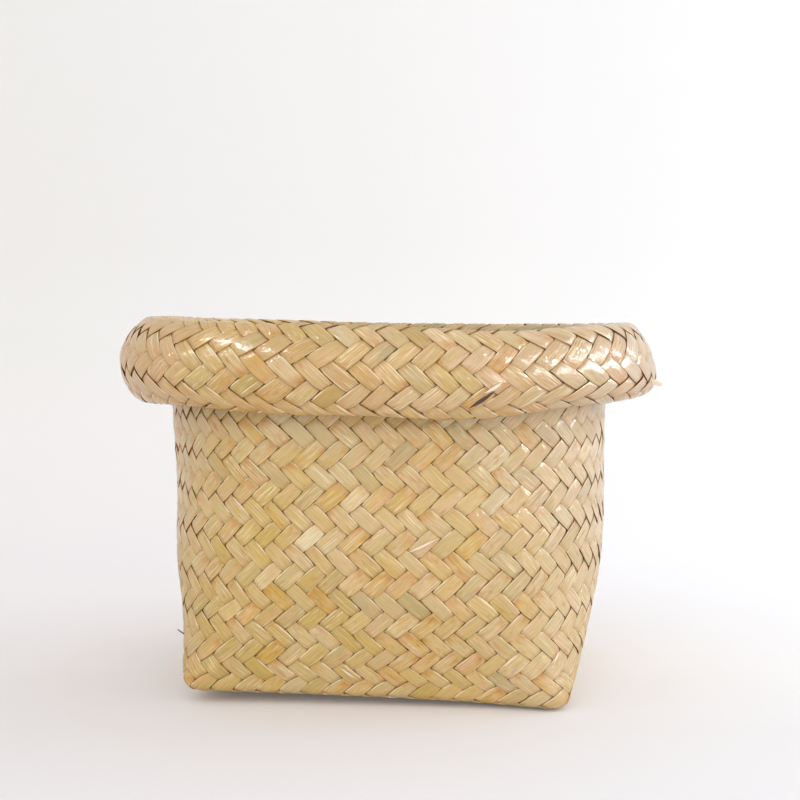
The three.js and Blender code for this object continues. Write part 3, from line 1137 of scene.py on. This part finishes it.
# Frayed places on the front: lattice places of both ends, half-width and lift of the middle
WALL_SLIVER = ((20.0, 15.7), (22.7, 17.1), 0.38 * MM, 0.9 * MM)
FOOT_SLIVER = ((13.8, 3.4), (15.3, 2.0), 0.36 * MM, 0.3 * MM)
CORNER_SLIVER = ((33.7, 5.8), (33.0, 4.7), 0.26 * MM, 0.2 * MM)
# The split's lifted lip is bared fibre; its pale tip also stands in for a white glint, a painted highlight
SPLIT_LIP_GLINT = ((27.0, 43.7), (28.3, 42.7), 0.5 * MM, 0.5 * MM)
# A dark lens of painted shade lies in the split's open gap
SPLIT_SHADOW = ((25.9, 45.4), (27.8, 43.5), 0.65 * MM, 0.15 * MM)
# Loose ends: lattice place, the way they point, length and half-width
LOOSE_STRIP = ((42.8, 43.8), (0.9, -0.1, -0.35), 7.0 * MM, 0.85 * MM)
LOOSE_FIBRE = ((132.5, 4.8), (-0.75, -0.2, 0.6), 5.0 * MM, 0.2 * MM)
LOOSE_BLUNTNESS = 0.8
FACE_HEIGHT = 0.8 * MM


def outer_face(u, v):
    """Places on the outside of the strips, and the way out; the collar shows the fabric's other face."""
    out = facing(wall_point, u, v, 1) * np.where(v > RIM_ROW, -1.0, 1.0)[:, None]
    return wall_point(u, v) + out * FACE_HEIGHT, out


def lens(middle, out, half_width, bluntness=1.0):
    """Corners and faces of a thin lens of fibre along the given places, ridged on its outer side."""
    count = len(middle)
    aside = np.cross(out, np.gradient(middle, axis=0))
    aside /= np.linalg.norm(aside, axis=1, keepdims=True)
    belly = half_width * np.maximum(np.sin(np.linspace(0, bluntness * math.pi, count)), 0.06)[:, None]
    places = np.stack([middle - aside * belly, middle + out * belly * 0.3, middle + aside * belly], 1)
    faces = [
        (3 * i + k, 3 * i + (k + 1) % 3, 3 * i + 3 + (k + 1) % 3, 3 * i + 3 + k)
        for i in range(count - 1)
        for k in range(3)
    ]
    last = 3 * count
    faces += [(2, 1, 0), (last - 3, last - 2, last - 1)]
    return places.reshape(-1, 3), faces


def lifted(start, end, half_width, lift):
    part = np.linspace(0, 1, 15)
    u = start[0] + (end[0] - start[0]) * part
    v = start[1] + (end[1] - start[1]) * part
    face, out = outer_face(u, v)
    return lens(face + out * (lift * np.sin(math.pi * part))[:, None], out, half_width)


def loose(place, way, length, half_width):
    root, _ = outer_face(np.array([place[0]]), np.array([place[1]]))
    part = np.linspace(-0.5, 0.5, 9)[:, None]
    frontward = np.tile((0.0, -1.0, 0.0), (len(part), 1))
    return lens(root + np.array(way) * length * part, frontward, half_width, LOOSE_BLUNTNESS)


def make_frays():
    # Pale bared fibre; on the split's lip it also serves as a painted glint
    whitish = plain("bared fibre", srgb(244, 228, 206))
    # The dark material is painted shade in the open split, and the colour of a loose dark fibre
    dark = plain("open split", srgb(84, 64, 58))
    slivers = (WALL_SLIVER, FOOT_SLIVER, CORNER_SLIVER, SPLIT_LIP_GLINT)
    pale_parts = [lifted(*sliver) for sliver in slivers] + [loose(*LOOSE_STRIP)]
    shade_and_fibre_parts = [lifted(*SPLIT_SHADOW), loose(*LOOSE_FIBRE)]
    for name, parts, material in (("frayed_fibres", pale_parts, whitish), ("split_shadow_and_fibre", shade_and_fibre_parts, dark)):
        places, faces, first = [], [], 0
        for corners, sides in parts:
            places += corners.tolist()
            faces += [tuple(first + c for c in side) for side in sides]
            first += len(corners)
        mesh = bpy.data.meshes.new(name)
        mesh.from_pydata(places, [], faces)
        mesh.materials.append(material)
        piece = bpy.data.objects.new(name, mesh)
        bpy.context.collection.objects.link(piece)
        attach(piece, "root")


def make_basket():
    guide = make_guide()
    tree = StripGraph().tree
    sedge = LacqueredSedge().material
    for quarter, group in enumerate(GROUPS):
        for batch, first, count in BATCHES:
            name = f"strips_{group}_{batch}"
            piece = plait(tree, guide, name, quarter, first, count, sedge)
            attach(piece, "root")
            side = SIDES[quarter]
            if batch == "long":
                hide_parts(f"side_{side}")
            else:
                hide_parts(f"collar_{side}", f"hem_{side}")
            if (quarter, first) == (0, 0):
                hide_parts("base_mat", f"side_{side}")
    bpy.data.meshes.remove(guide)


make_camera()
make_basket()
make_frays()
make_stage()
make_light()
bpy.context.scene.view_settings.view_transform = "Standard"

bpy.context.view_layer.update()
